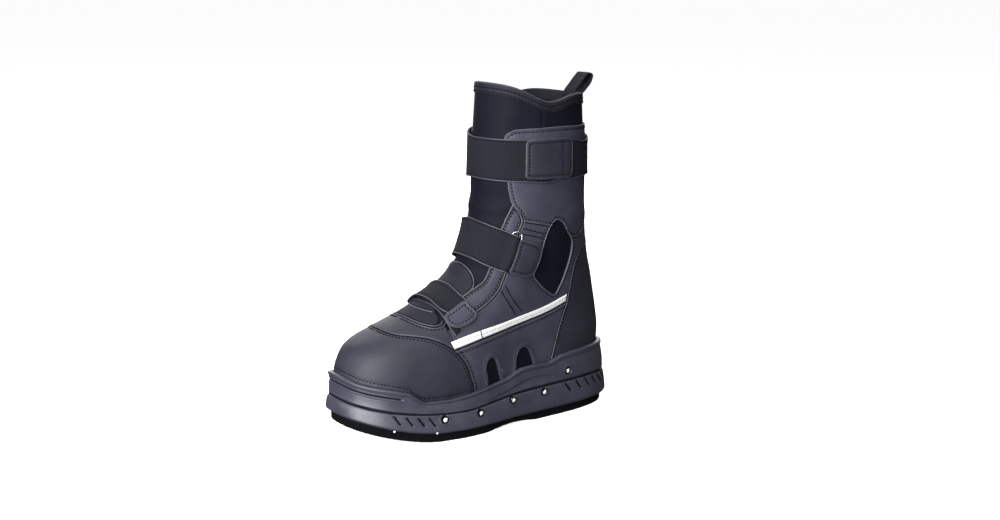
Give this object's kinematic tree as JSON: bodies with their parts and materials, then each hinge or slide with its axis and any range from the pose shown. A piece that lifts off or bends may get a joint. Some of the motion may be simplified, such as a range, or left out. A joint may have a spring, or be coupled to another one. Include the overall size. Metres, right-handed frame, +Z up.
{
  "type": "ice rescue boot",
  "caption": "Calf-high left boot of neoprene and coated panels with hook-and-loop straps over steel rings, a stepped rubber cup sole and a thick studded felt outsole.",
  "frame": {"origin": "middle of the boot's box, on the floor under the felt outsole", "axes": "+X towards the toe, +Y towards the outer side of the foot, +Z up"},
  "size_m": [0.3204, 0.1244, 0.3461],
  "materials": {
    "neoprene": "matte knitted face over closed-cell foam",
    "coated": "charcoal coated microfibre with a soft satin sheen",
    "webbing": "matte woven ribbed webbing",
    "rubber": "satin moulded rubber",
    "felt": "dense black felt",
    "foam": "fabric-faced foam",
    "reflective": "white reflective tape",
    "steel": "bright plated steel"
  },
  "bodies": {
    "root": {"felt_outsole": "felt", "sole_carrier": "rubber", "cup_sole": "rubber", "upper": "neoprene", "tongue_patch": "coated", "insole": "foam", "toe_cap": "coated", "vamp": "coated", "quarter_outer": "coated", "quarter_inner": "coated", "eyestay_outer": "coated", "eyestay_inner": "coated", "shaft_cuff": "coated", "heel_counter": "coated", "stripe_outer": "reflective", "stripe_inner": "reflective", "top_strap": "webbing", "top_strap_base": "webbing", "top_strap_tab": "coated", "mid_strap": "webbing", "mid_chape_outer": "coated", "mid_chape_inner": "coated", "low_strap": "webbing", "low_strap_tab": "coated", "low_chape": "coated", "top_ring": "steel", "mid_ring_outer": "steel", "mid_ring_inner": "steel", "low_ring": "steel", "pull_loop": "webbing", "stud_01": "steel", "stud_02": "steel", "stud_03": "steel", "stud_04": "steel", "stud_05": "steel", "stud_06": "steel", "stud_07": "steel", "stud_08": "steel", "stud_09": "steel", "stud_10": "steel", "stud_11": "steel", "stud_12": "steel", "stud_13": "steel", "stud_14": "steel", "stud_15": "steel", "stud_16": "steel", "stud_17": "steel", "stud_18": "steel", "stud_19": "steel", "stud_20": "steel", "stud_21": "steel", "stud_22": "steel", "stud_23": "steel", "stud_24": "steel", "rivet_1": "steel", "rivet_2": "steel", "rivet_3": "steel", "rivet_4": "steel", "rivet_5": "steel"}
  },
  "joints": []
}
